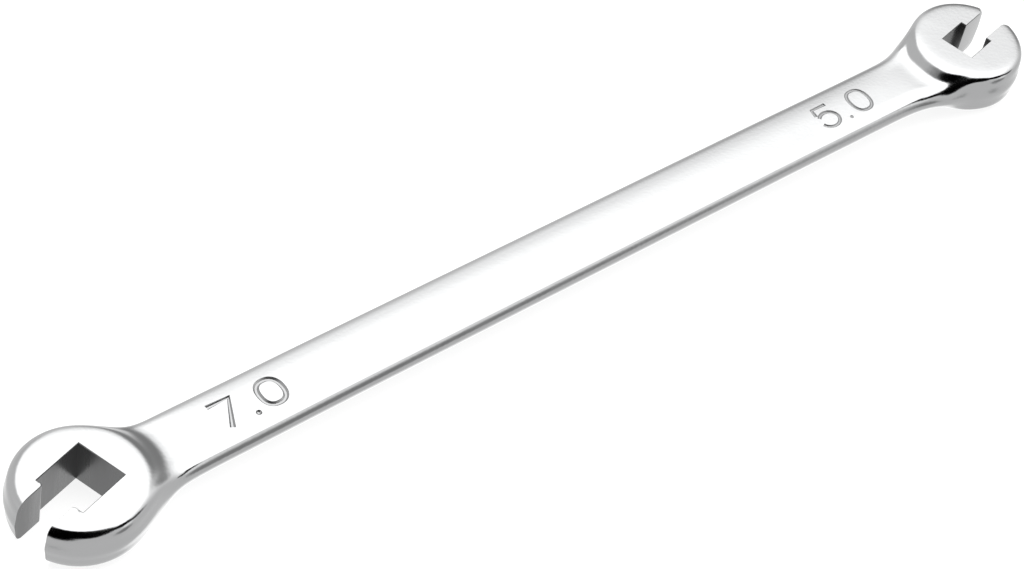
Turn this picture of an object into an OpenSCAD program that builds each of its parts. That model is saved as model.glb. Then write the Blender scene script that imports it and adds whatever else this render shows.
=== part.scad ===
// Double-ended spoke wrench, a flat forging with an open square socket in each head.
// It lies flat: the large head is at -X, the small head at +X, and the tops face +Z.
// The real wrench is one piece of steel, so the three nodes are sections of one rigid
// body that meet face to face across the plain part of the shank.

/* [Layout] */
// Distance between the centres of the two heads
centre_distance = 148.5; // [120:0.5:200]
// Plain bar left between the end of each neck and the joint plane of its node
neck_land = 1.2; // [0.5:0.1:3]

/* [Heads] */
// Diameter of the large head at its widest line
large_head_d = 17.6; // [16:0.1:22]
// Diameter of the small head at its widest line
small_head_d = 16.5; // [15:0.1:22]
// Thickness of both heads
head_t = 6.7; // [6:0.1:8]
// Draft of the forged head wall, in degrees
head_draft = 8; // [0:1:10]
// Radius of the rolled edge of the large head
large_edge_r = 1.4; // [0.8:0.1:1.8]
// Radius of the rolled edge of the small head
small_edge_r = 1.2; // [1.2:0.1:1.4]

/* [Sockets] */
// Width across the flats of the large socket
large_socket_w = 7; // [5:0.1:9]
// Length of the large socket along its slot
large_socket_l = 7.4; // [5:0.1:9]
// Width of the slot that lets the spoke into the large socket
large_slot_w = 4.6; // [3:0.1:5]
// Angle of the large slot to the shank, in degrees
large_slot_angle = 16; // [0:1:30]
// Width across the flats of the small socket
small_socket_w = 5; // [3.5:0.1:6]
// Length of the small socket along its slot
small_socket_l = 5; // [3.5:0.1:6]
// Width of the slot that lets the spoke into the small socket
small_slot_w = 3.4; // [2:0.1:3.5]
// Angle of the small slot to the shank, in degrees
small_slot_angle = 12; // [0:1:30]
// Distance of the large slot off the middle of its socket, towards +Y
large_slot_shift = 0.2; // [0:0.1:0.5]
// Distance from the centre of the small head back to the centre of its socket
small_socket_back = 0.4; // [0:0.1:1]

/* [Shank] */
// Thickness of the shank, whose sides are fully round
shank_t = 3.4; // [2.6:0.1:4.4]
// Width of the shank, carried on to the centre of the large head
shank_large_w = 9.8; // [8:0.1:12]
// Width of the shank, carried on to the centre of the small head
shank_small_w = 9.2; // [8:0.1:12]

/* [Necks] */
// Radius in plan from the side of the shank to the large head
large_neck_r = 18; // [8:0.5:24]
// Radius in plan from the side of the shank to the small head
small_neck_r = 24; // [8:0.5:24]
// Radius in plan of the tall middle of the neck at the large head
large_cheek_r = 50; // [12:1:80]
// Radius in plan of the tall middle of the neck at the small head
small_cheek_r = 60; // [12:1:80]
// Radius of the hollow from the shank up to the face of the large head
large_web_r = 4; // [2:0.1:6]
// Radius of the hollow from the shank up to the face of the small head
small_web_r = 5; // [2:0.1:6]

/* [Size numerals] */
// Height of the size numerals
numeral_h = 4.5; // [3:0.1:5]
// Width of each numeral
numeral_w = 3.8; // [3:0.1:4.5]
// Width of the engraved stroke
stroke_w = 0.45; // [0.3:0.05:0.7]
// Depth of the engraving
engrave_depth = 0.2; // [0.1:0.05:0.4]
// Distance along the shank between the middles of the two numerals of a size
numeral_pitch = 6.4; // [5.6:0.1:8]
// Plain shank between the joint plane and the size of the large socket
large_numeral_gap = 3.8; // [1:0.1:20]
// Plain shank between the joint plane and the size of the small socket
small_numeral_gap = 3.1; // [1:0.1:20]

/* [Hidden] */
$fn = 96;
large_head_r = large_head_d / 2;
small_head_r = small_head_d / 2;
face_z = head_t / 2;
side_r = shank_t / 2;
taper = atan((shank_large_w - shank_small_w) / (2 * centre_distance));
// Distance from each head's centre to the line of the shank's side
large_side_d = shank_large_w / 2 * cos(taper);
small_side_d = shank_small_w / 2 * cos(taper);
// Distance along that line from the foot of each head to the end of its plan radius
function neck_reach(head_r, side_d, neck_r) = sqrt(pow(head_r + neck_r, 2) - pow(side_d + neck_r, 2));
// Radius of the flat face, and the radius at which the hollow runs out on the shank
function face_r(head_r, edge_r) = head_r - (face_z - edge_r) * tan(head_draft) - edge_r / cos(head_draft);
function web_rise(edge_r, web_r) = edge_r + web_r - (face_z - side_r);
function web_end(head_r, edge_r, web_r) =
    face_r(head_r, edge_r) + sqrt(pow(edge_r + web_r, 2) - pow(web_rise(edge_r, web_r), 2));
large_reach = neck_reach(large_head_r, large_side_d, large_neck_r);
small_reach = neck_reach(small_head_r, small_side_d, small_neck_r);
large_neck_l = max(large_reach, web_end(large_head_r, large_edge_r, large_web_r)) + neck_land;
small_neck_l = max(small_reach, web_end(small_head_r, small_edge_r, small_web_r)) + neck_land;
// Places of the head centres and of the joint planes, with the origin under the middle
large_x = -(centre_distance + small_head_r - large_head_r) / 2;
small_x = large_x + centre_distance;
large_joint_x = large_x + large_neck_l;
small_joint_x = small_x - small_neck_l;
numeral_span = numeral_pitch + numeral_w;
// One overrun for every cut that runs out past a face
over = shank_t / 2;
// Depth to which the neck's curved faces are sunk in what they rise from
sink = shank_t / 200;
// Flat left on the shank between the foot of the hollow and the rounded side
ledge = shank_t / 20;
// Depth in the head's wall from which the tall middle of the neck springs
bite = shank_t / 10;

// Section through one rounded side of the shank, the side at y = 0 and the bar at -y
module side_section() {
    translate([-side_r, 0])
        circle(r = side_r);
    translate([-shank_large_w - shank_small_w, -side_r])
        square([shank_large_w + shank_small_w - side_r, shank_t]);
}

// Bar that is rounded on its +Y side only, from x0 to x1, the side on the shank's side line
module half_bar(x0, x1) {
    translate([large_x, 0, 0])
        rotate([0, 0, -taper])
            translate([x0 - large_x - over, large_side_d, 0])
                rotate([90, 0, 90])
                    linear_extrude(x1 - x0 + 2 * over)
                        side_section();
}

// Tapered bar with both sides rounded, trimmed square at x0 and x1
module bar(x0, x1) {
    intersection() {
        half_bar(x0, x1);
        mirror([0, 1, 0])
            half_bar(x0, x1);
        translate([x0, -shank_large_w, -head_t])
            cube([x1 - x0, 2 * shank_large_w, 2 * head_t]);
    }
}

// Drafted disc with rolled edges, the plain body of a head
module head_disc(head_r, edge_r) {
    flat_r = face_r(head_r, edge_r);
    edge_z = face_z - edge_r;
    tangent_r = flat_r + edge_r * cos(head_draft);
    tangent_z = edge_z + edge_r * sin(head_draft);
    rotate_extrude()
        for (up = [0, 1])
            mirror([0, up]) {
                polygon([[0, 0], [head_r, 0], [tangent_r, tangent_z], [flat_r, edge_z],
                    [flat_r, face_z], [0, face_z]]);
                intersection() {
                    translate([flat_r, edge_z])
                        circle(r = edge_r);
                    translate([flat_r, edge_z])
                        square([edge_r, edge_r]);
                }
            }
}

// Face of a head running down through a hollow to the top and bottom of the shank. It is
// drawn a hair inside the head and the shank, so that it leaves their faces at a true edge
module web(head_r, edge_r, web_r) {
    flat_r = face_r(head_r, edge_r) - sink;
    end_r = web_end(head_r, edge_r, web_r) - sink;
    edge_z = face_z - edge_r;
    web_z = side_r + web_r - sink;
    // Point where the rolled edge turns into the hollow
    turn_share = edge_r / (edge_r + web_r);
    turn = [flat_r, edge_z] + turn_share * [end_r - flat_r, web_z - edge_z];
    rotate_extrude()
        for (up = [0, 1])
            mirror([0, up]) {
                difference() {
                    polygon([[0, 0], [end_r, 0], [end_r, side_r - sink], turn, [flat_r, edge_z],
                        [flat_r, face_z], [0, face_z]]);
                    translate([end_r, web_z])
                        circle(r = web_r);
                }
                intersection() {
                    translate([flat_r, edge_z])
                        circle(r = edge_r);
                    polygon([[flat_r, edge_z], turn, turn + [0, edge_r], [flat_r, face_z]]);
                }
            }
}

// Half plan of a neck from the head's centre towards +X, its fillet not yet taken out
module neck_sheet(side_d, neck_r, reach) {
    polygon([[over, 0], [over, -side_r], [reach, -side_r], [reach, side_d + neck_r]]);
}

// Fillet between the side of the shank and the head, rounded like the shank's side
module neck_fillet(side_d, neck_r, reach) {
    difference() {
        linear_extrude(shank_t, center = true)
            neck_sheet(side_d, neck_r, reach);
        translate([reach, side_d + neck_r - sink, 0])
            rotate_extrude()
                difference() {
                    translate([0, -shank_t])
                        square([neck_r + side_r, 2 * shank_t]);
                    translate([neck_r + side_r, 0])
                        circle(r = side_r);
                }
    }
}

// Tall middle of a neck, which carries the wall of the head into the flat of the shank
module neck_cheek(side_d, cheek_r, reach) {
    linear_extrude(2 * head_t, center = true)
        difference() {
            neck_sheet(side_d, cheek_r, reach);
            translate([reach, side_d + cheek_r])
                circle(r = cheek_r);
        }
}

// Both sides of a neck, and the hollow that rises from the shank to the head's face
module neck(head_r, edge_r, web_r, side_d, neck_r, cheek_r, lean) {
    flat_d = side_d - side_r - ledge;
    for (side = [0, 1])
        mirror([0, side, 0])
            rotate([0, 0, lean])
                neck_fillet(side_d, neck_r, neck_reach(head_r, side_d, neck_r));
    intersection() {
        web(head_r, edge_r, web_r);
        for (side = [0, 1])
            mirror([0, side, 0])
                rotate([0, 0, lean])
                    neck_cheek(flat_d, cheek_r, neck_reach(head_r - bite, flat_d, cheek_r));
    }
}

// Square socket with the narrower slot that opens it, the slot along +X
module open_socket(socket_w, socket_l, slot_w, slot_y, head_r) {
    linear_extrude(head_t + 2 * over, center = true) {
        square([socket_l, socket_w], center = true);
        translate([0, slot_y - slot_w / 2])
            square([head_r + over, slot_w]);
    }
}

// Numerals in strokes, each centred on the origin
module numeral_zero() {
    difference() {
        oval(numeral_w, numeral_h);
        oval(numeral_w - 2 * stroke_w, numeral_h - 2 * stroke_w);
    }
}

module oval(w, h) {
    for (up = [-1, 1])
        translate([0, up * (h - w) / 2])
            circle(d = w);
    square([w, h - w], center = true);
}

module numeral_seven() {
    lean = atan((numeral_w / 2) / (numeral_h - stroke_w));
    translate([-numeral_w / 2, numeral_h / 2 - stroke_w])
        square([numeral_w, stroke_w]);
    translate([numeral_w / 2 - stroke_w / 2, numeral_h / 2 - stroke_w / 2])
        rotate(-lean)
            translate([-stroke_w / 2, -(numeral_h - stroke_w / 2) / cos(lean)])
                square([stroke_w, (numeral_h - stroke_w / 2) / cos(lean)]);
}

module numeral_five() {
    bowl_r = numeral_h / 3;
    bowl_y = bowl_r - numeral_h / 2;
    left = -numeral_w / 2;
    translate([left, numeral_h / 2 - stroke_w])
        square([numeral_w, stroke_w]);
    translate([left, bowl_y + bowl_r - stroke_w])
        square([stroke_w, numeral_h - 2 * bowl_r + stroke_w]);
    translate([left, bowl_y + bowl_r - stroke_w])
        square([numeral_w - bowl_r, stroke_w]);
    translate([left, bowl_y - bowl_r])
        square([numeral_w - bowl_r, stroke_w]);
    difference() {
        translate([numeral_w / 2 - bowl_r, bowl_y])
            circle(r = bowl_r);
        translate([numeral_w / 2 - bowl_r, bowl_y])
            circle(r = bowl_r - stroke_w);
        translate([numeral_w / 2 - 2 * bowl_r, bowl_y - bowl_r])
            square([bowl_r, 2 * bowl_r]);
    }
}

module point() {
    translate([numeral_pitch / 2, stroke_w - numeral_h / 2])
        circle(d = 1.5 * stroke_w);
}

// Cut for a size, its left end at x, its first numeral given as a child
module engraving(x) {
    translate([x + numeral_w / 2, 0, side_r - engrave_depth])
        linear_extrude(engrave_depth + over) {
            children();
            point();
            translate([numeral_pitch, 0])
                numeral_zero();
        }
}

module large_head() {
    color("gainsboro")
        translate([0, 0, face_z])
            difference() {
                union() {
                    translate([large_x, 0, 0]) {
                        head_disc(large_head_r, large_edge_r);
                        neck(large_head_r, large_edge_r, large_web_r, large_side_d, large_neck_r,
                            large_cheek_r, -taper);
                    }
                    bar(large_x, large_joint_x);
                }
                translate([large_x, 0, 0])
                    rotate([0, 0, 180 + large_slot_angle])
                        open_socket(large_socket_w, large_socket_l, large_slot_w, -large_slot_shift,
                            large_head_r);
            }
}

module small_head() {
    color("gainsboro")
        translate([0, 0, face_z])
            difference() {
                union() {
                    translate([small_x, 0, 0]) {
                        head_disc(small_head_r, small_edge_r);
                        mirror([1, 0, 0])
                            neck(small_head_r, small_edge_r, small_web_r, small_side_d, small_neck_r,
                                small_cheek_r, taper);
                    }
                    bar(small_joint_x, small_x);
                }
                translate([small_x - small_socket_back, 0, 0])
                    rotate([0, 0, small_slot_angle])
                        open_socket(small_socket_w, small_socket_l, small_slot_w, 0, small_head_r);
            }
}

module shank() {
    color("silver")
        translate([0, 0, face_z])
            difference() {
                bar(large_joint_x, small_joint_x);
                engraving(large_joint_x + large_numeral_gap)
                    numeral_seven();
                engraving(small_joint_x - small_numeral_gap - numeral_span)
                    numeral_five();
            }
}

large_head();
shank();
small_head();
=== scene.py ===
# %% [markdown]
# # A spoke wrench, forged in one piece and plated
#
# The real tool is a single steel forging: two round heads, a flat shank with rounded sides, and
# two necks where the shank swells into the heads. Each head has a square socket for a spoke
# nipple and a slanted slot that lets the spoke in. Nothing is joined on, so everything here
# comes from one mesh. It is shaped as a forging blank, parted into the three named sections of
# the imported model, and then cut as the toolmaker cuts it.

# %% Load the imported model
import math

import bmesh
import bpy
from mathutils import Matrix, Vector


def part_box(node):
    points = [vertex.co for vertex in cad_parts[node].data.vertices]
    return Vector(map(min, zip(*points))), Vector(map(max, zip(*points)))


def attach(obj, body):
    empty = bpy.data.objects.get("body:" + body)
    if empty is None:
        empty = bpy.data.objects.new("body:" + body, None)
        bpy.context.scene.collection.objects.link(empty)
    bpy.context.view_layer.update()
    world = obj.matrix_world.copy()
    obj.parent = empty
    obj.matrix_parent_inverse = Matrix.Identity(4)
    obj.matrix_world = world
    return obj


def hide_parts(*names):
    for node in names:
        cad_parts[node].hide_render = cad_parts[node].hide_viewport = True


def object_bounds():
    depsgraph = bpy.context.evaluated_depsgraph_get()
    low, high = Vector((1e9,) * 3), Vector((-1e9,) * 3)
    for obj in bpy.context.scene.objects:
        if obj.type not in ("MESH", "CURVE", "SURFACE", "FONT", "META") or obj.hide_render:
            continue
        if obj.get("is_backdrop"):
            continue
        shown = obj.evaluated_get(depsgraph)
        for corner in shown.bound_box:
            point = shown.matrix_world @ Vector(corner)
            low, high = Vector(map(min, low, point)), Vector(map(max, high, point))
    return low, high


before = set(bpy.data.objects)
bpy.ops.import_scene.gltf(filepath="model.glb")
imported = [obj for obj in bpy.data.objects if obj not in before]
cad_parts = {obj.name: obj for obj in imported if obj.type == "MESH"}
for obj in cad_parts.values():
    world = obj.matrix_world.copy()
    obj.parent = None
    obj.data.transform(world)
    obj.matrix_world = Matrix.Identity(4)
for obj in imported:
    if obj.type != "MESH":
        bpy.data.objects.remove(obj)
cad_box = [list(corner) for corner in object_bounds()]
print("packed nodes:", sorted(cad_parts))

# %% [markdown]
# ## Measures
#
# Lengths are typed in millimetres and multiplied by `mm`, because Blender works in metres here.
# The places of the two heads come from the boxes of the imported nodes, so the visual model lies
# where the solids lie. North is +Y, and south is the side that faces the camera.

# %% Measures that everything uses
mm = 0.001
NEAR = 1e-6  # a thousandth of a millimetre: closer together, two places are one
LARGE_RADIUS = 8.8 * mm
SMALL_RADIUS = 8.25 * mm
large_low, large_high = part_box("large_head")
small_low, small_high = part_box("small_head")
LARGE_X = large_low.x + LARGE_RADIUS
SMALL_X = small_high.x - SMALL_RADIUS
LARGE_JOINT = large_high.x
SMALL_JOINT = small_low.x
TOP = large_high.z
HALF = TOP / 2
print("head centres at", round(LARGE_X / mm, 3), round(SMALL_X / mm, 3), "mm")

# %% [markdown]
# ## Helpers for working as by hand
#
# An operator acts on whatever is selected. So each step first clears the selection and then
# picks vertices, edges or faces by where they are.


# %% Helpers
def start_clean():
    """Leaves edit mode and deselects every object."""
    if bpy.context.object and bpy.context.object.mode != "OBJECT":
        bpy.ops.object.mode_set(mode="OBJECT")
    bpy.ops.object.select_all(action="DESELECT")


def work_on(piece):
    """Selects one object alone and makes it active."""
    start_clean()
    piece.select_set(True)
    bpy.context.view_layer.objects.active = piece


def edit(piece, kind):
    """Opens a piece in edit mode, ready to pick VERT, EDGE or FACE."""
    work_on(piece)
    bpy.ops.object.mode_set(mode="EDIT")
    bpy.ops.mesh.select_mode(type=kind)


def pick(piece, kind, test):
    """In edit mode, selects only the vertices, edges or faces that pass the test."""
    bpy.ops.mesh.select_mode(type=kind)
    bpy.ops.mesh.select_all(action="DESELECT")
    mesh = bmesh.from_edit_mesh(piece.data)
    parts = {"VERT": mesh.verts, "EDGE": mesh.edges, "FACE": mesh.faces}[kind]
    count = 0
    for part in parts:
        if test(part):
            part.select_set(True)
            count += 1
    bmesh.update_edit_mesh(piece.data)
    return count


def on(value, place):
    """True where a coordinate is at a place."""
    return abs(value - place) < NEAR


def resize(value, centre):
    bpy.ops.transform.resize(value=value, center_override=centre)


def move(value):
    bpy.ops.transform.translate(value=value)


def extrude_edges():
    """Extrudes the selected edges and leaves the new ones in place, selected."""
    bpy.ops.mesh.extrude_edges_move(TRANSFORM_OT_translate={"value": (0, 0, 0)})


def extrude_faces():
    """Extrudes the selected faces and leaves the new ones in place, selected."""
    bpy.ops.mesh.extrude_region_move(TRANSFORM_OT_translate={"value": (0, 0, 0)})


def settle(piece):
    """Puts an object's place, turn and size into its mesh."""
    work_on(piece)
    bpy.ops.object.transform_apply(location=True, rotation=True, scale=True)


def finish_with(piece, name, kind, **settings):
    """Adds a modifier with its settings and applies it."""
    work_on(piece)
    modifier = piece.modifiers.new(name, kind)
    for key, value in settings.items():
        setattr(modifier, key, value)
    bpy.ops.object.modifier_apply(modifier=name)


# %% [markdown]
# ## The camera
#
# The viewpoint was worked out from the photograph before modelling: the wrench lies along the
# diagonal of a wide frame, seen from above with the large head in front, and the small head is
# about a fifth further away. The camera comes first, because every later step is judged
# through it.

# %% Camera at the photograph's viewpoint
bpy.ops.object.camera_add(location=(-205.207 * mm, -174.17 * mm, 280.773 * mm))
camera = bpy.context.object
camera.name = "photo_camera"
camera.rotation_euler = [math.radians(angle) for angle in (42.6232, -8.8324, -39.0281)]
camera.data.sensor_width = 36
camera.data.lens = 105.485
camera.data.clip_start = 0.01
camera.data.clip_end = 20
bpy.context.scene.camera = camera
print("camera lens", round(camera.data.lens, 1), "mm")

# %% [markdown]
# ## The cage of the forging
#
# The skin of a forging has hardly a sharp line outside its cuts: the flat face of a head rolls
# over its edge, dips through a hollow and runs out along the shank. A Subdivision Surface gives
# that flow from a coarse cage. The cage starts as the top half of the wrench only: a flat disc
# for each head, with rows of edges extruded from it down the hollow to the shank. The bottom
# half is its mirror image.
#
# A row is given by the reach of its middle from the head's centre, the place (x, y) of its two
# ends, and its height over the middle plane. A station stands at each end of a row. Its first
# point is where that end goes, and the next three lead down the side to the parting line.
#
# All these numbers were placed one by one. A control point lies a little outside the surface that
# it pulls, so they are somewhat larger than the real sizes.

# %% The shape of each head, in millimetres
PULL = 1 / 0.98863  # a ring of 24 control points shrinks to this share under subdivision
HALF_SIDE = math.radians(7.5)  # half of the turn from one of those points to the next
CORNER = math.radians(52.5)  # where the rim of a head leaves for the neck

large_shape = {
    "x": LARGE_X, "way": 1, "lean": 0, "flat": 6.51 * PULL, "ring": 7.85 * PULL, "dip": 0.02,
    "rows": [(8.75, 6.9, 5.1, 2.98), (9.95, 8.9, 4.0, 2.03), (11.5, 11.0, 3.2, 1.64),
             (14.4, 14.2, 2.91, 1.7)],
    "rim": [(8.55 * PULL, 2.454), (8.59 * PULL, 1.106), (8.89 * PULL, 0)],
    "north": [[(5.27, 6.86, 2.454), (5.29, 6.89, 1.106), (5.48, 7.14, 0)],
              [(6.8, 4.95, 2.85), (7.05, 5.65, 2.5), (7.1, 5.86, 1.15), (7.2, 6.22, 0)],
              [(8.9, 3.95, 2.05), (9.1, 4.65, 1.85), (9.2, 5.07, 1.12), (9.3, 5.5, 0)],
              [(11.0, 3.2, 1.7), (11.1, 4.02, 1.72), (11.2, 4.63, 1.114), (11.25, 5.06, 0)],
              [(14.2, 2.91, 1.7), (14.2, 3.97, 1.65), (14.2, 4.57, 1.1), (14.2, 4.93, 0)]],
    "south": [[(5.35, 6.97, 2.75), (5.42, 7.1, 1.6), (5.6, 7.4, 0)],
              [(6.8, 5.0, 3.0), (7.1, 5.83, 2.85), (7.2, 6.2, 1.75), (7.3, 6.57, 0)],
              [(8.9, 4.2, 2.1), (9.1, 5.0, 1.95), (9.2, 5.42, 1.22), (9.3, 5.77, 0)],
              [(11.0, 3.3, 1.7), (11.1, 4.4, 1.42), (11.2, 4.78, 1.02), (11.25, 5.07, 0)],
              [(14.2, 2.91, 1.7), (14.2, 4.35, 1.36), (14.2, 4.62, 0.98), (14.2, 4.93, 0)]],
}
small_shape = {
    "x": SMALL_X, "way": -1, "lean": 0.14, "flat": 6.14 * PULL, "ring": 7.39 * PULL, "dip": 0.08,
    "rows": [(8.3, 6.6, 4.85, 3.0), (9.2, 8.15, 4.2, 2.0), (10.2, 9.7, 3.5, 1.66),
             (12.2, 11.95, 2.82, 1.705), (15.1, 14.9, 2.64, 1.7)],
    "rim": [(8.06 * PULL, 2.7), (8.05 * PULL, 1.25), (8.34 * PULL, 0)],
    "north": [[(5.05, 6.6, 2.8), (5.08, 6.65, 1.4), (5.25, 6.9, 0)],
              [(6.5, 4.95, 3.0), (6.8, 5.75, 2.55), (6.88, 6.05, 1.4), (7.0, 6.45, 0)],
              [(8.15, 4.15, 2.15), (8.35, 4.95, 1.95), (8.45, 5.45, 1.2), (8.55, 5.85, 0)],
              [(9.7, 3.45, 1.75), (9.85, 4.25, 1.78), (9.95, 4.9, 1.15), (10.0, 5.35, 0)],
              [(11.95, 2.82, 1.73), (12.0, 3.66, 1.74), (12.05, 4.5, 1.13), (12.1, 4.93, 0)],
              [(14.9, 2.64, 1.7), (14.9, 3.7, 1.65), (14.9, 4.3, 1.1), (14.9, 4.66, 0)]],
    "south": [[(5.0, 6.55, 2.9), (5.02, 6.6, 1.6), (5.2, 6.85, 0)],
              [(6.5, 4.9, 2.85), (6.75, 5.65, 2.35), (6.82, 6.05, 1.4), (6.95, 6.45, 0)],
              [(8.15, 4.2, 2.02), (8.35, 5.0, 1.72), (8.45, 5.55, 1.1), (8.55, 5.97, 0)],
              [(9.7, 3.55, 1.7), (9.85, 4.4, 1.68), (9.95, 4.95, 1.1), (10.0, 5.38, 0)],
              [(11.95, 2.82, 1.72), (12.0, 4.08, 1.42), (12.05, 4.5, 1.02), (12.1, 4.87, 0)],
              [(14.9, 2.64, 1.7), (14.9, 4.08, 1.36), (14.9, 4.35, 0.98), (14.9, 4.66, 0)]],
}
SIDES = ((1, "north"), (-1, "south"))
for shape in (large_shape, small_shape):
    # The first station of a side starts on the disc itself, at the last corner of its rim
    ring = shape["ring"]
    hip = (ring * math.cos(CORNER), ring * math.sin(CORNER), HALF / mm - shape["dip"])
    for side, table in SIDES:
        shape[table][0].insert(0, hip)
print("stations on each side:", len(large_shape["north"]), "and", len(small_shape["north"]))

# %% [markdown]
# ### Faces and necks
#
# Each head is a 24-sided disc, inset once so that its face stays flat close to the edge. Seven
# of its edges look at the shank. They are extruded row by row. Resizing a row about its own
# middle makes its arc flatter and narrower, until it is nearly the straight line across the
# shank.


# %% Face and neck of one head
def face_and_neck(name, shape):
    way, centre, reach = shape["way"], shape["x"], shape["ring"]
    bpy.ops.mesh.primitive_circle_add(
        vertices=24, radius=reach * mm, fill_type="NGON",
        location=(centre, 0, HALF), rotation=(0, 0, HALF_SIDE))
    piece = bpy.context.object
    piece.name = name
    settle(piece)
    edit(piece, "FACE")
    bpy.ops.mesh.select_all(action="SELECT")
    bpy.ops.mesh.inset(thickness=(reach - shape["flat"]) * mm * math.cos(HALF_SIDE))
    neck_starts = shape["ring"] * mm * math.cos(CORNER)

    def looks_at_shank(edge):
        middle = (edge.verts[0].co + edge.verts[1].co) / 2
        return edge.is_boundary and (middle.x - centre) * way > neck_starts

    count = pick(piece, "EDGE", looks_at_shank)
    move((0, 0, -shape["dip"] * mm))
    end_x, end_y = reach * math.cos(CORNER), reach * math.sin(CORNER)
    height = HALF / mm - shape["dip"]
    for next_reach, next_x, next_y, next_height in shape["rows"]:
        extrude_edges()
        move((way * (next_reach - reach) * mm, 0, (next_height - height) * mm))
        arc = (next_reach - next_x) / (reach - end_x)
        resize((arc, next_y / end_y, 1), (centre + way * next_reach * mm, 0, 0))
        reach, end_x, end_y, height = next_reach, next_x, next_y, next_height
    bpy.ops.object.mode_set(mode="OBJECT")
    print(name, "has", count, "columns and", len(piece.data.polygons), "faces")
    return piece


start_clean()
large_skin = face_and_neck("large_skin", large_shape)
start_clean()
small_skin = face_and_neck("small_skin", small_shape)

# %% [markdown]
# ### The shank between the necks
#
# Both necks end in a row of seven edges, so one bridge between the two rows makes the whole top
# of the shank. Its cuts keep the long faces short enough to stay straight under subdivision.

# %% Bridge from neck to neck
work_on(large_skin)
small_skin.select_set(True)
bpy.ops.object.join()
skin = bpy.context.object
skin.name = "skin"
edit(skin, "EDGE")
between = (LARGE_X + 14 * mm, SMALL_X - 14.5 * mm)


def ends_a_neck(edge):
    a, b = edge.verts[0].co, edge.verts[1].co
    inside = between[0] < a.x < between[1] and between[0] < b.x < between[1]
    return edge.is_boundary and inside and abs(a.y - b.y) > abs(a.x - b.x)


print("bridging", pick(skin, "EDGE", ends_a_neck), "edges")
bpy.ops.mesh.bridge_edge_loops(number_cuts=12, interpolation="LINEAR")


# %% [markdown]
# ### The sides, down to the parting line
#
# The open edge of this skin is the upper outline of the wrench. It is extruded three times, and
# each new loop is moved to its place: the rims of the heads by resizing about their centres,
# the sides of the shank by a plain step outwards, and the necks vertex by vertex, because there
# the tall wall of the head has to die away into the round side of the shank.
#
# The two sides differ, as on the real forging. The large neck is a little fuller on the side
# that faces the camera. The shank's shoulder lies further out and lower on that side, so that
# it can be made crisp.


# %% Extrude the outline
def spot(shape, side, point):
    """A point of the tables as a place in the model, side 1 for north and -1 for south."""
    return Vector((shape["x"] + shape["way"] * point[0] * mm, side * point[1] * mm, point[2] * mm))


def note(moved):
    """Adds the selected vertices to those that are moved already."""
    moved |= {v.index for v in bmesh.from_edit_mesh(skin.data).verts if v.select}


def shift(here, there, moved):
    """Moves the open-edge vertex at one place to another, and notes it as moved."""
    def is_here(vertex):
        close = (vertex.co - here).length < 0.05 * mm
        return vertex.is_boundary and close and vertex.index not in moved

    found = pick(skin, "VERT", is_here)
    if found != 1:
        raise ValueError(f"{found} vertices at {list(here)}")
    move(there - here)
    note(moved)


# Half the thickness of the shank, then the steps down its sides, north 1 and south -1: each is
# a step outwards and the height that it reaches
SHANK_HALF = 1.7
SHANK_SIDES = {1: [(1.06, 1.65), (0.6, 1.1), (0.36, 0)],
               -1: [(1.44, 1.36), (0.27, 0.98), (0.31, 0)]}

for shape in (large_shape, small_shape):
    for side, table in SIDES:
        for row, station in zip(shape["rows"], shape[table][1:]):
            shift(spot(shape, side, row[1:]), spot(shape, side, station[0]), set())

for step in range(3):
    pick(skin, "EDGE", lambda e: e.is_boundary)
    extrude_edges()
    moved = set()
    for shape in (large_shape, small_shape):
        loops = [(shape["ring"], HALF / mm), *shape["rim"]]
        (radius_before, height_before), (radius, height) = loops[step:step + 2]
        limit = radius_before * mm * math.cos(math.radians(60))
        pick(skin, "VERT", lambda v: v.is_boundary and (v.co.x - shape["x"]) * shape["way"] < limit)
        share = radius / radius_before
        resize((share, share, 1), (shape["x"], 0, 0))
        lean = shape["lean"] if step == 0 else 0
        move((shape["way"] * lean * mm, 0, (height - height_before) * mm))
        note(moved)
        for side, table in SIDES:
            for station in shape[table]:
                shift(spot(shape, side, station[step]), spot(shape, side, station[step + 1]), moved)
    for side, steps in SHANK_SIDES.items():
        outwards, height = steps[step]
        height_before = SHANK_HALF if step == 0 else steps[step - 1][1]
        pick(skin, "VERT", lambda v: v.is_boundary and v.index not in moved and v.co.y * side > 0)
        move((0, side * outwards * mm, (height - height_before) * mm))
pick(skin, "VERT", lambda v: v.is_boundary)
resize((1, 1, 0), (0, 0, 0))
bpy.ops.object.mode_set(mode="OBJECT")
print("the cage has", len(skin.data.vertices), "vertices")

# %% [markdown]
# ### Crown and bow of the shank
#
# The top of a forged shank is never dead flat. It has a soft crown, highest a little to the
# north of its middle, and that gives the long gradient that the plating shows across it. Each
# column of control points is lifted or lowered by its own step. The end rows get half of it, so
# that the crown starts gently. The shank also bows to the north by a fraction of a millimetre.

# %% Crown and bow
# Place of each column across the shank and its lift, then half lengths of the bow and its steps
CROWN = ((-2.78, -0.09), (-2.13, -0.055), (-1.34, -0.015), (-0.46, 0.025),
         (0.46, 0.06), (1.34, 0.065), (2.13, 0.04), (2.78, -0.01), (3.84, -0.07))
BOW = ((62, 0.15), (50, 0.08))


def in_column(vertex, column, inset):
    """True for a vertex on top of the shank, in one column and clear of the necks."""
    on_shank = between[0] + inset * mm < vertex.co.x < between[1] - inset * mm
    return on_shank and vertex.co.z > 1.5 * mm and abs(vertex.co.y - column * mm) < 0.3 * mm


edit(skin, "VERT")
for inset in (0, 5):
    for column, lift in CROWN:
        pick(skin, "VERT", lambda v: in_column(v, column, inset))
        move((0, 0, lift / 2 * mm))
for reach, step in BOW:
    pick(skin, "VERT", lambda v: abs(v.co.x) < reach * mm)
    move((0, step * mm, 0))
bpy.ops.object.mode_set(mode="OBJECT")
print("crowned", len(CROWN), "columns")

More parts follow.
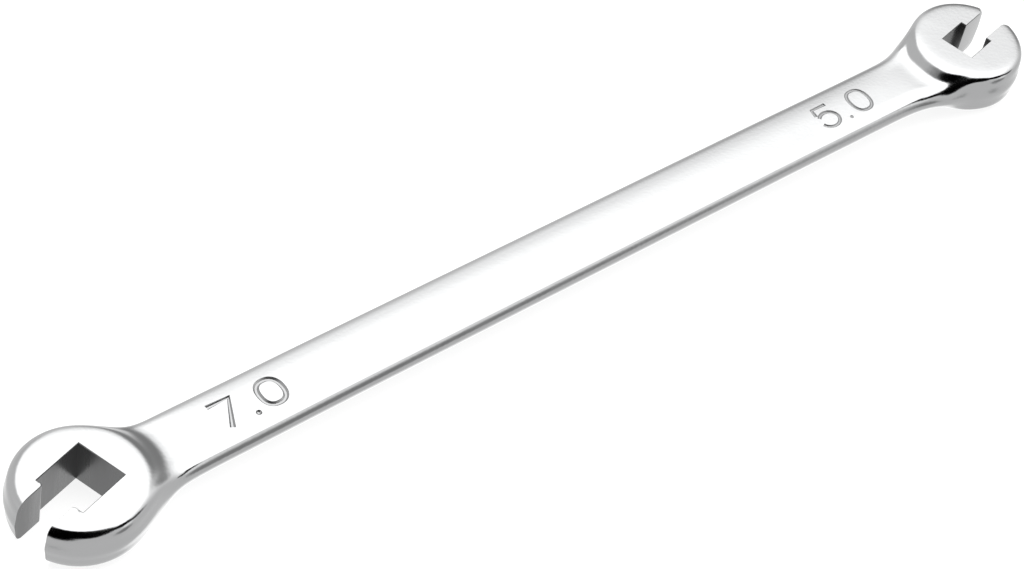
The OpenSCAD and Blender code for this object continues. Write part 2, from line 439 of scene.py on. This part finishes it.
# %% [markdown]
# ### A crisp shoulder on the side that faces the camera
#
# Subdivision would round this shoulder like the other one. A full crease on its row of edges
# keeps it sharp. The row runs from neck to neck and ends where the shoulder melts into the
# hollows.


# %% Crease the near shoulder
def on_near_shoulder(vertex):
    x, y, z = vertex.co
    clear_of_heads = LARGE_X + 10 * mm < x < SMALL_X - 11 * mm
    return clear_of_heads and -4.6 * mm < y < -3.8 * mm and 1.3 * mm < z < 1.45 * mm


edit(skin, "EDGE")
count = pick(skin, "EDGE", lambda e: all(on_near_shoulder(v) for v in e.verts))
bpy.ops.transform.edge_crease(value=1)
bpy.ops.object.mode_set(mode="OBJECT")
print("creased", count, "edges")

# %% [markdown]
# ### Mirror and subdivide
#
# The mirror closes the skin at the parting line. Three levels of subdivision give the heads 192
# segments each, which is smooth enough for a mirror finish.

# %% Close and smooth the forging
finish_with(skin, "other_half", "MIRROR", use_axis=(False, False, True), use_clip=True,
            merge_threshold=0.01 * mm)
finish_with(skin, "smooth_skin", "SUBSURF", levels=3, render_levels=3)
edit(skin, "FACE")
bpy.ops.mesh.select_all(action="SELECT")
bpy.ops.mesh.normals_make_consistent(inside=False)
move((0, 0, HALF))
bpy.ops.object.mode_set(mode="OBJECT")
heights = [round(v.co.z / mm, 3) for v in skin.data.vertices]
print("forging:", len(skin.data.polygons), "faces, from", min(heights), "to", max(heights), "mm")

# %% [markdown]
# ## The metals
#
# Chrome is a dim mirror: this one returns about two fifths of the light, and its look is what
# stands around it. So the colour is a plain mid grey with full metallic, and the detail is in
# the surface. A fine noise in the bump gives the slight orange peel of plate over a tumbled
# forging, and a larger noise makes the polish uneven.
#
# Plate hardly reaches into the sockets, so their walls have a metal of their own: duller, with
# its noise drawn out upright like the marks of a broach, and much darker. Part of that darkness
# is the bare steel's own, and part is painted shade. It stands in for the shade inside the
# sockets, which the floor, left out of reflections, doesn't give. The grooves of the two engraved
# sizes are duller than the plate round them, the small size more than the large one, so each
# has its own metal too.


# %% Plate, broached steel and engraved plate
def metal(name, grey, low, high, stretch):
    """A metal with uneven polish; stretch squeezes its noise along x, y and z."""
    made = bpy.data.materials.new(name)
    made.use_nodes = True
    tree = made.node_tree
    shader = tree.nodes["Principled BSDF"]
    shader.inputs["Base Color"].default_value = (grey, grey * 1.006, grey * 1.012, 1)
    shader.inputs["Metallic"].default_value = 1
    places = tree.nodes.new("ShaderNodeTexCoord")
    squeeze = tree.nodes.new("ShaderNodeMapping")
    squeeze.inputs["Scale"].default_value = stretch
    tree.links.new(places.outputs["Object"], squeeze.inputs["Vector"])

    def noise(scale, detail):
        node = tree.nodes.new("ShaderNodeTexNoise")
        node.inputs["Scale"].default_value = scale
        node.inputs["Detail"].default_value = detail
        tree.links.new(squeeze.outputs["Vector"], node.inputs["Vector"])
        return node.outputs["Fac"]

    polish = tree.nodes.new("ShaderNodeMapRange")
    for key, value in (("From Min", 0.35), ("From Max", 0.65), ("To Min", low), ("To Max", high)):
        polish.inputs[key].default_value = value
    tree.links.new(noise(400, 4), polish.inputs["Value"])
    tree.links.new(polish.outputs["Result"], shader.inputs["Roughness"])
    peel = tree.nodes.new("ShaderNodeBump")
    peel.inputs["Strength"].default_value = 0.25
    peel.inputs["Distance"].default_value = 0.04 * mm
    tree.links.new(noise(2200, 3), peel.inputs["Height"])
    tree.links.new(peel.outputs["Normal"], shader.inputs["Normal"])
    print(name, "has", len(tree.nodes), "nodes")
    return made


EVEN = (1, 1, 1)
UPRIGHT = (1, 1, 0.15)
plating = metal("satin_chrome_plate", 0.40, 0.10, 0.17, EVEN)
# Socket walls: a dark grey that is partly the bare steel's own colour and partly painted shade for
# the inside of the sockets
broached_and_shaded = metal("broached_steel_and_painted_shade", 0.14, 0.22, 0.34, UPRIGHT)
engraved_large = metal("engraved_plate_large", 0.32, 0.26, 0.36, EVEN)
engraved_small = metal("engraved_plate_small", 0.28, 0.34, 0.46, EVEN)
skin.data.materials.append(plating)

# %% [markdown]
# ## Parting into the three named sections
#
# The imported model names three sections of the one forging. Two planes part it where the solids
# are parted. Each section keeps its own copy of the skin, cut with bisect and capped.


# %% Part the forging
def section(name, low_x, high_x):
    work_on(skin)
    bpy.ops.object.duplicate()
    piece = bpy.context.object
    piece.name = name
    for place, keep_right in ((low_x, True), (high_x, False)):
        if place is None:
            continue
        edit(piece, "FACE")
        bpy.ops.mesh.select_all(action="SELECT")
        bpy.ops.mesh.bisect(plane_co=(place, 0, 0), plane_no=(1, 0, 0), use_fill=True,
                            clear_inner=keep_right, clear_outer=not keep_right, threshold=1e-7)
        bpy.ops.object.mode_set(mode="OBJECT")
    print(name, len(piece.data.polygons), "faces")
    return piece


large_head_skin = section("large_head_skin", None, LARGE_JOINT)
shank_skin = section("shank_skin", LARGE_JOINT, SMALL_JOINT)
small_head_skin = section("small_head_skin", SMALL_JOINT, None)
work_on(skin)
bpy.ops.object.delete()

# %% [markdown]
# ## Sockets and slots
#
# On the real wrench these are cut after forging, so their edges are crisp. Each cutter is drawn
# flat at the origin, with its slot along x. It starts as a plane, grows by extruding its edges,
# and gets its rounded corners. Extruding that plan upwards makes it a solid tool, which is then
# turned to the slant of the slot and moved to its head.


# %% Helpers for the cutters
def start_plan(name, material, x_range, y_range):
    """A flat plane with a material, open in edit mode; its ranges are in metres."""
    bpy.ops.mesh.primitive_plane_add(size=1)
    cutter = bpy.context.object
    cutter.name = name
    cutter.data.materials.append(material)
    cutter.scale = (x_range[1] - x_range[0], y_range[1] - y_range[0], 1)
    cutter.location = ((x_range[0] + x_range[1]) / 2, (y_range[0] + y_range[1]) / 2, 0)
    settle(cutter)
    edit(cutter, "EDGE")
    return cutter


def grow_plan(cutter, is_end, step):
    """Extrudes the edges with both ends passing the test, and moves them by a step."""
    pick(cutter, "EDGE", lambda e: all(is_end(v.co) for v in e.verts))
    extrude_edges()
    move(step)


def round_corners(cutter, is_corner, radius, segments):
    pick(cutter, "VERT", lambda v: is_corner(v.co))
    bpy.ops.mesh.bevel(offset=radius * mm, segments=segments, affect="VERTICES")


def close_plan():
    """Dissolves the lines inside the flat plan, which leaves one face, selected."""
    bpy.ops.mesh.select_all(action="SELECT")
    bpy.ops.mesh.dissolve_limited(angle_limit=math.radians(1))


def place_tool(centre_x, turn):
    """Turns the finished tool to the slant of its slot and moves it to its head."""
    bpy.ops.mesh.select_all(action="SELECT")
    bpy.ops.mesh.normals_make_consistent(inside=False)
    bpy.ops.transform.rotate(value=-turn, orient_axis="Z", center_override=(0, 0, 0))
    move((centre_x, 0, 0))
    bpy.ops.object.mode_set(mode="OBJECT")


# %% [markdown]
# ### The socket with its slot
#
# The plan starts as wide as the slot. Its long edges are extruded to the full socket, its end
# edge out through the rim, and the corners at the lips are rounded. The tool flares by a tenth
# of a millimetre where it meets the faces of the head, and that leaves the fine chamfer that
# catches the light.


# %% Cutter for a socket and its slot
def socket_cutter(name, centre_x, turn, width, length, slot, lip_radius):
    """width and length of the socket, slot as its two walls (low, high) across, all in mm."""
    low, high = slot
    end = length / 2 * mm
    cutter = start_plan(name, broached_and_shaded, (-end, end), (low * mm, high * mm))
    for wall, step in ((high, width / 2 - high), (low, -width / 2 - low)):
        grow_plan(cutter, lambda co: on(co.y, wall * mm), (0, step * mm, 0))
    past_rim = 12 * mm
    grow_plan(cutter, lambda co: on(co.x, end) and low * mm - NEAR < co.y < high * mm + NEAR,
              (past_rim - end, 0, 0))
    round_corners(cutter, lambda co: on(co.x, end) and any(on(co.y, wall * mm) for wall in slot),
                  lip_radius, 4)
    close_plan()
    flare = 0.1 * mm
    flare_share = flare / mm / (width / 2)
    # Heights, and how many times the flare the tool is wider there; outside it runs on at 45 degrees
    levels = ((-1 * mm, 11), (0, 1), (flare, 0), (TOP - flare, 0), (TOP, 1), (TOP + 1 * mm, 11))
    height_before, grown_before = 0, 1
    for number, (height, flares) in enumerate(levels):
        if number > 0:
            extrude_faces()
        grown = 1 + flare_share * flares
        move((0, 0, height - height_before))
        resize((grown / grown_before, grown / grown_before, 1), (0, 0, 0))
        height_before, grown_before = height, grown
    place_tool(centre_x, turn)
    print(name, "has", len(cutter.data.polygons), "faces")
    return cutter


LARGE_TURN = math.radians(196)
SMALL_TURN = math.radians(12)
SMALL_SOCKET_X = SMALL_X - 0.4 * mm
large_cutter = socket_cutter("large_cutter", LARGE_X, LARGE_TURN, 7, 7.4, (-2.5, 2.1), 0.35)
small_cutter = socket_cutter("small_cutter", SMALL_SOCKET_X, SMALL_TURN, 5, 5, (-1.7, 1.7), 0.12)

# %% [markdown]
# ### The mouth of the small slot
#
# The outer corners of the small slot are rounded, more on the north side than on the south one.
# Their cutter is a bar across the mouth with a stem in the slot. It is extruded upwards level by
# level, and each level slides along the slot as the rim of the head comes in over its rolled
# edge.

# %% Cutter that rounds the mouth of a slot
# Depth under a face of the head and the reach of its rim there, in mm, then the widest reach
RIM_PROFILE = ((-1, 6.95), (0, 6.95), (0.16, 7.29), (0.42, 7.66), (0.8, 7.94), (2.07, 8.12))
RIM_REACH = 8.25


def mouth_cutter(name, centre_x, turn, half_slot, bar, corners):
    """bar as its start along the slot and its half width; corners as two radii, north and south."""
    start, half_bar = bar[0] * mm, bar[1] * mm
    length = 6 * mm
    wall = (half_slot + 0.005) * mm
    cutter = start_plan(name, plating, (start, start + length), (-wall, wall))
    for side in (1, -1):
        grow_plan(cutter, lambda co: on(co.y, side * wall), (0, side * (half_bar - wall), 0))
    grow_plan(cutter, lambda co: on(co.x, start) and abs(co.y) < wall + NEAR, (-length, 0, 0))
    for side, radius in zip((1, -1), corners):
        round_corners(cutter, lambda co: on(co.x, start) and on(co.y, side * wall), radius, 8)
    close_plan()
    upper = [(TOP / mm - depth, reach) for depth, reach in reversed(RIM_PROFILE)]
    levels = [*RIM_PROFILE, (HALF / mm, RIM_REACH), *upper]
    height_before, reach_before = 0, RIM_REACH
    for number, (height, reach) in enumerate(levels):
        if number > 0:
            extrude_faces()
        move(((reach - reach_before) * mm, 0, (height - height_before) * mm))
        height_before, reach_before = height, reach
    place_tool(centre_x, turn)
    print(name, "has", len(cutter.data.polygons), "faces")
    return cutter


small_mouth = mouth_cutter("small_mouth", SMALL_SOCKET_X, SMALL_TURN, 1.7, (8.3, 3.1), (1.15, 0.7))

# %% [markdown]
# ### Cutting
#
# A Boolean takes each tool away from its head. The faces that it leaves bring the tool's own
# metal along, so the walls of a socket get their dark steel, partly bare steel and partly
# painted shade, without a further step.


# %% Cut the heads
def cut(piece, cutter, name):
    finish_with(piece, name, "BOOLEAN", operation="DIFFERENCE", solver="EXACT", object=cutter,
                material_mode="TRANSFER")
    work_on(cutter)
    bpy.ops.object.delete()
    count = len(piece.data.polygons)
    if count == 0:
        raise ValueError(f"{name} cut all of {piece.name} away")
    print(piece.name, "after", name, "has", count, "faces")


cut(large_head_skin, large_cutter, "large_socket")
cut(small_head_skin, small_mouth, "small_mouth")
cut(small_head_skin, small_cutter, "small_socket")

# %% [markdown]
# ## Size numerals
#
# The shank carries the two nipple sizes, 7.0 and 5.0. Each stroke is a curve with a round
# bevel, turned into a mesh and sunk so that part of its thickness bites into the steel: about
# three tenths for the large size, a quarter for the small one. That leaves a shallow
# round-bottomed groove, as an engraving cutter does.

# %% Tools for the strokes
# Each size has the place of its left end, the radius of its strokes and the metal of its grooves
large_size = {"left": LARGE_X + 18.9 * mm, "radius": 0.44, "metal": engraved_large}
small_size = {"left": SMALL_X - 29.25 * mm, "radius": 0.34, "metal": engraved_small}
GROOVE_HEIGHT = 5.255
GROOVE_SLOPE = 0.025
ZERO_MIDDLE = 0.03
POINT_MIDDLE = -1.87


def groove_spot(size, x, y):
    """A place in a size as a place in the model; it follows the fall of the crown."""
    return (size["left"] + x * mm, y * mm, (GROOVE_HEIGHT + GROOVE_SLOPE * y) * mm)


def stroke(name, points, size, closed=False):
    """A tube along the points, as a mesh that can be cut away."""
    line = bpy.data.curves.new(name, "CURVE")
    line.dimensions = "3D"
    line.bevel_depth = size["radius"] * mm
    line.bevel_resolution = 3
    line.use_fill_caps = True
    line.materials.append(size["metal"])
    spline = line.splines.new("POLY")
    spline.points.add(len(points) - 1)
    for point, (x, y) in zip(spline.points, points):
        point.co = (*groove_spot(size, x, y), 1)
    spline.use_cyclic_u = closed
    piece = bpy.data.objects.new(name, line)
    bpy.context.scene.collection.objects.link(piece)
    work_on(piece)
    bpy.ops.object.convert(target="MESH")
    return bpy.context.object


def arc(centre, half_width, half_height, start, stop, steps):
    """Points of an oval arc, its angles in degrees."""
    points = []
    for step in range(steps + 1):
        turn = math.radians(start + (stop - start) * step / steps)
        points.append((centre[0] + half_width * math.cos(turn),
                       centre[1] + half_height * math.sin(turn)))
    return points


def zero(name, centre_x, half_width, half_height, size):
    """An oval with slightly square shoulders."""
    points = []
    for x, y in arc((0, 0), 1, 1, 0, 352.5, 47):
        points.append((centre_x + half_width * math.copysign(abs(x) ** 0.85, x),
                       ZERO_MIDDLE + half_height * math.copysign(abs(y) ** 0.85, y)))
    return stroke(name, points, size, closed=True)


def decimal_point(name, x, size):
    """A ball that leaves a round pit."""
    bpy.ops.mesh.primitive_uv_sphere_add(segments=24, ring_count=12, radius=size["radius"] * mm)
    bpy.ops.transform.translate(value=groove_spot(size, x, POINT_MIDDLE))
    piece = bpy.context.object
    piece.name = name
    piece.data.materials.append(size["metal"])
    settle(piece)
    return piece


# %% Engrave the sizes, in millimetres from the left end of each
seven = [(0.25, 1.97), (3.5, 1.97), (1.3, -2.12)]
five_stem = [(3.08, 1.85), (0.58, 1.85), (0.34, 0.55)]
five_bowl = arc((1.78, -0.66), 1.56, 1.3, 146, -163, 24)
strokes = [
    stroke("seven", seven, large_size),
    decimal_point("large_point", 5.3, large_size),
    zero("large_zero", 8.43, 1.64, 1.92, large_size),
    stroke("five_stem", five_stem, small_size),
    stroke("five_bowl", five_bowl, small_size),
    decimal_point("small_point", 4.9, small_size),
    zero("small_zero", 8.03, 1.56, 1.89, small_size),
]
for tool in strokes:
    cut(shank_skin, tool, tool.name)

# %% [markdown]
# ## Shading of the faces
#
# Faces that meet at less than 35 degrees are shaded as one surface, so the rolled edges stay
# soft and the cut edges stay crisp.

# %% Smooth by angle
sections = {"large_head": large_head_skin, "shank": shank_skin, "small_head": small_head_skin}
for piece in sections.values():
    work_on(piece)
    bpy.ops.object.shade_smooth_by_angle(angle=math.radians(35))
print("smoothed", len(sections), "sections")

# %% [markdown]
# ## Floor and light
#
# The photograph was taken on white with soft light all round, and with the dark of the room
# behind the camera. That dark is what draws the black line along the rolled edges. Nothing
# needs to be hung up for it: a World can give each direction its own brightness. It starts as
# a gradient from the floor's white up to a bright ceiling, and soft round patches are laid over
# that. A patch compares the direction with its own by a dot product. The floor takes the shadow
# but is left out of reflections, where the World's lower half stands for a wide table.

# %% Floor
start_clean()
bpy.ops.mesh.primitive_plane_add(size=6, location=(0, 0, -0.1 * mm))
floor = bpy.context.object
floor.name = "floor"
settle(floor)
floor_paint = bpy.data.materials.new("pale_floor")
floor_paint.use_nodes = True
floor_shader = floor_paint.node_tree.nodes["Principled BSDF"]
floor_shader.inputs["Base Color"].default_value = (0.3, 0.3, 0.3, 1)
floor_shader.inputs["Emission Color"].default_value = (1, 1, 1, 1)
floor_shader.inputs["Emission Strength"].default_value = 0.86
floor_shader.inputs["Roughness"].default_value = 1
floor_shader.inputs["Specular IOR Level"].default_value = 0
floor.data.materials.append(floor_paint)
floor.visible_glossy = False
floor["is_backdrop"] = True

# %% Sky gradient
world = bpy.data.worlds.new("studio")
bpy.context.scene.world = world
world.use_nodes = True
sky = world.node_tree
backdrop = sky.nodes["Background"]
direction = sky.nodes.new("ShaderNodeTexCoord")
split = sky.nodes.new("ShaderNodeSeparateXYZ")
ramp = sky.nodes.new("ShaderNodeValToRGB")
BRIGHTEST = 2.8
sky.links.new(direction.outputs["Generated"], split.inputs["Vector"])
height = sky.nodes.new("ShaderNodeMapRange")
height.inputs["From Min"].default_value = -1
sky.links.new(split.outputs["Z"], height.inputs["Value"])
sky.links.new(height.outputs["Result"], ramp.inputs["Fac"])
# Elevation in degrees and brightness there
stops = ((-90, 1.02), (-25, 1.02), (0, 1.05), (15, 1.2), (25, 1.36), (34, 1.7),
         (40, 2.05), (45, 2.5), (50, BRIGHTEST))
while len(ramp.color_ramp.elements) < len(stops):
    ramp.color_ramp.elements.new(0.5)
for element, (elevation, value) in zip(ramp.color_ramp.elements, stops):
    element.position = (math.sin(math.radians(elevation)) + 1) / 2
    element.color = (value / BRIGHTEST, value / BRIGHTEST, value / BRIGHTEST, 1)
bright = sky.nodes.new("ShaderNodeMath")
bright.operation = "MULTIPLY"
bright.inputs[1].default_value = BRIGHTEST
sky.links.new(ramp.outputs["Color"], bright.inputs[0])
light = bright.outputs["Value"]


# %% Patches of light and dark
def patch(light, azimuth, elevation, inner, outer, value):
    """Lays a round patch over the light: full out to inner degrees, gone at outer degrees."""
    turn, tilt = math.radians(azimuth), math.radians(elevation)
    toward = (math.cos(turn) * math.cos(tilt), math.sin(turn) * math.cos(tilt), math.sin(tilt))
    match = sky.nodes.new("ShaderNodeVectorMath")
    match.operation = "DOT_PRODUCT"
    match.inputs[1].default_value = toward
    sky.links.new(direction.outputs["Generated"], match.inputs[0])
    fade = sky.nodes.new("ShaderNodeMapRange")
    fade.interpolation_type = "SMOOTHSTEP"
    fade.inputs["From Min"].default_value = math.cos(math.radians(outer))
    fade.inputs["From Max"].default_value = math.cos(math.radians(inner))
    sky.links.new(match.outputs["Value"], fade.inputs["Value"])
    mix = sky.nodes.new("ShaderNodeMix")
    mix.inputs["B"].default_value = value
    sky.links.new(fade.outputs["Result"], mix.inputs["Factor"])
    sky.links.new(light, mix.inputs["A"])
    return mix.outputs["Result"]


# Azimuth and elevation, inner and outer degrees, and brightness
patches = (
    (-63, -17, 4, 16, 0.42),   # dim edge of the table to the front right
    (-57, 9, 3, 12, 1.7),      # bright strip over it
    (30, 10, 8, 30, 0.45),     # dim gap at the far right
    (88, 28, 14, 25, 1.0),     # grey wall behind the wrench
    (120, 30, 18, 34, 1.05),   # grey wall on the left
    (160, 50, 8, 26, 1.0),     # grey wall above it
    (178, 60, 6, 20, 0.5),     # darker corner of that wall
    (20, -60, 8, 26, 1.5),     # bright patch of table
    (-61, 31, 11, 18, 0.0),    # dark doorway above the bright strip
    (-42, 19, 7, 13, 0.15),    # dark window beside the doorway
    (-155, 0, 24, 34, 0.0),    # the dark room, low part
    (-121, 40, 37, 46, 0.0),   # the dark room behind the camera
)
for azimuth, elevation, inner, outer, value in patches:
    light = patch(light, azimuth, elevation, inner, outer, value)
sky.links.new(light, backdrop.inputs["Strength"])
backdrop.inputs["Color"].default_value = (1, 1, 1, 1)
bpy.context.scene.view_settings.view_transform = "Standard"
print("sky nodes:", len(sky.nodes))

# %% [markdown]
# ## Hand over
#
# Each section rides on the one rigid body and stands for its imported node, which stays hidden
# in the model for the physics.

# %% Ride and replace
for node, piece in sections.items():
    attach(piece, "root")
    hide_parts(node)
sizes = {"cad": cad_box, "visual": [list(corner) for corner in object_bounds()]}
for name, box in sizes.items():
    print(name, "box in mm:", [[round(value / mm, 2) for value in corner] for corner in box])
